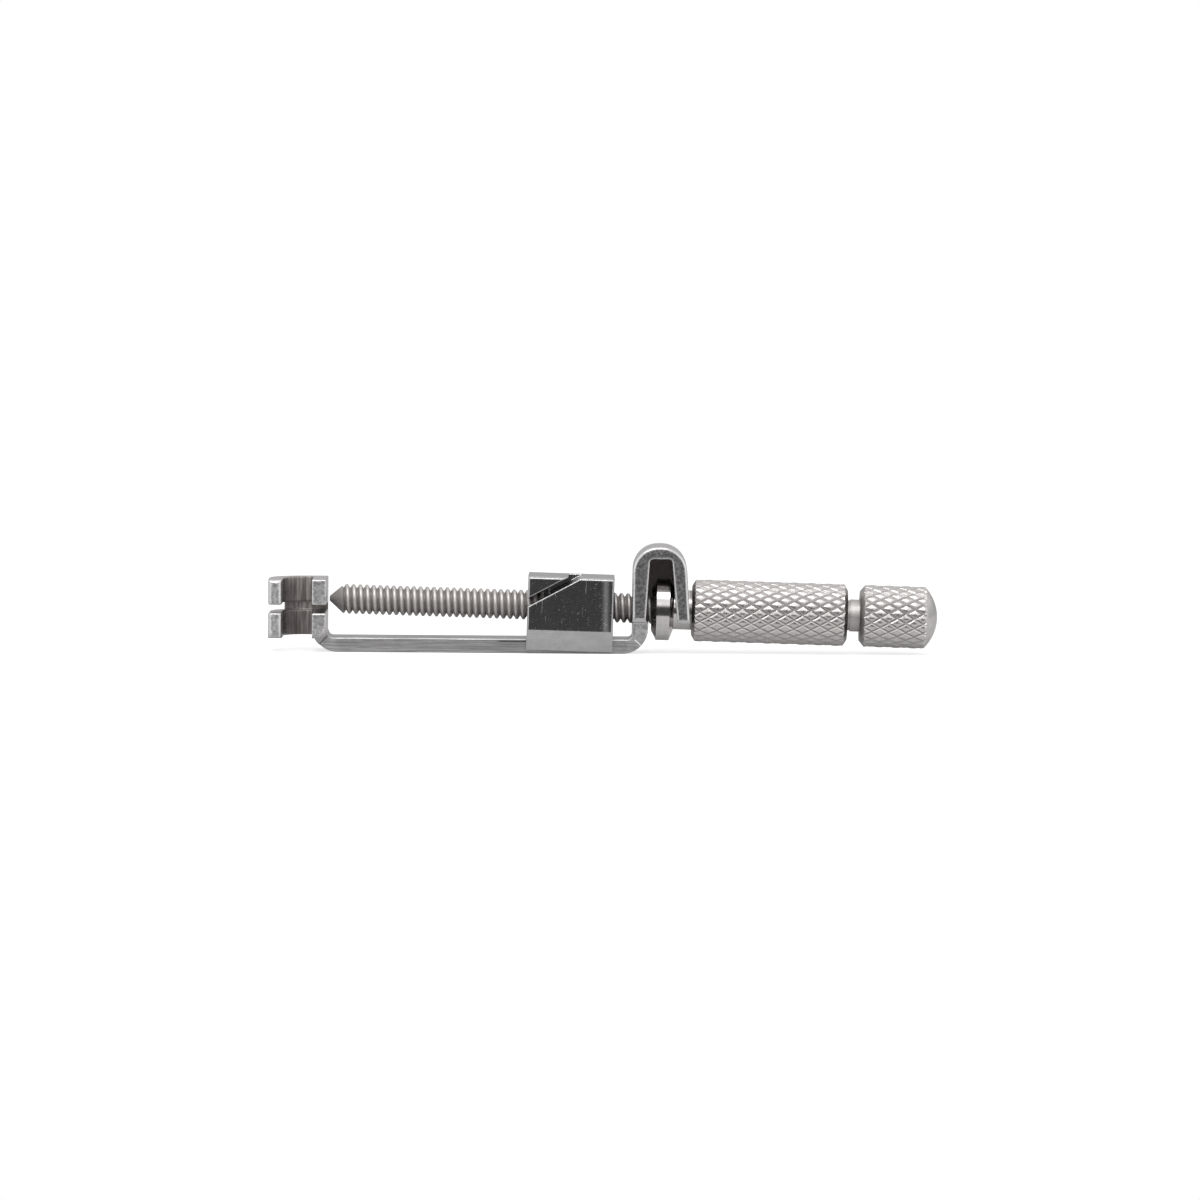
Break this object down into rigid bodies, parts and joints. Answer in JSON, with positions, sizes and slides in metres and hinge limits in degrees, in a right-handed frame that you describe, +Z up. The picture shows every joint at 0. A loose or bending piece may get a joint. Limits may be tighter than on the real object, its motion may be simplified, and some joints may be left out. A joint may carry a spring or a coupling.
{
  "type": "matrix band retainer",
  "caption": "Dental matrix band retainer: bent strip frame with slotted channel head, a vise block sliding on a flat bar, and two knurled knobs on a pointed screw.",
  "frame": {"origin": "on the underside of the flat bar, in the middle of its length and width", "axes": "+X along the bar from the slotted head to the knobs, +Y across the bar from the head's open side to its closed back, +Z up from the bar to the screw"},
  "size_m": [0.0633, 0.007, 0.0102],
  "materials": {
    "frame_steel": "satin stainless steel strip with tumbled, slightly mottled cut edges and brighter rounded rims",
    "vise_steel": "polished stainless steel with fine handling scratches",
    "knob_steel": "satin stainless steel, diamond knurled on the grips and plain on the ends and collar",
    "screw_steel": "turned stainless steel with a cut thread"
  },
  "bodies": {
    "frame": {"frame": "frame_steel"},
    "vise_block": {"vise_block": "vise_steel"},
    "adjusting_knob": {"adjusting_knob": "knob_steel"},
    "screw": {"screw": "screw_steel"},
    "locking_knob": {"locking_knob": "knob_steel"}
  },
  "joints": [
    {"name": "vise_travel", "type": "slide", "parent": "frame", "child": "vise_block", "axis": [0.9997, 0, -0.0262], "range_m": [-0.01842, 0.00152]},
    {"name": "adjusting_knob_turn", "type": "hinge", "parent": "frame", "child": "adjusting_knob", "pos_m": [0.01919, 0, 0.00406], "axis": [0.9997, 0, -0.0262], "range_deg": [-860.5, 10440.5]},
    {"name": "screw_travel", "type": "slide", "parent": "frame", "child": "screw", "axis": [0.9997, 0, -0.0262], "range_m": [-0.00019, 0.0254]},
    {"name": "locking_knob_turn", "type": "hinge", "parent": "screw", "child": "locking_knob", "pos_m": [0.01919, 0, 0.00406], "axis": [0.9997, 0, -0.0262], "range_deg": [-108.5, 14400.5]}
  ],
  "couplings": [
    {"joint": "adjusting_knob_turn", "follows": "vise_travel", "rad_per_m": -9894.8},
    {"joint": "locking_knob_turn", "follows": "screw_travel", "rad_per_m": 9894.8}
  ]
}
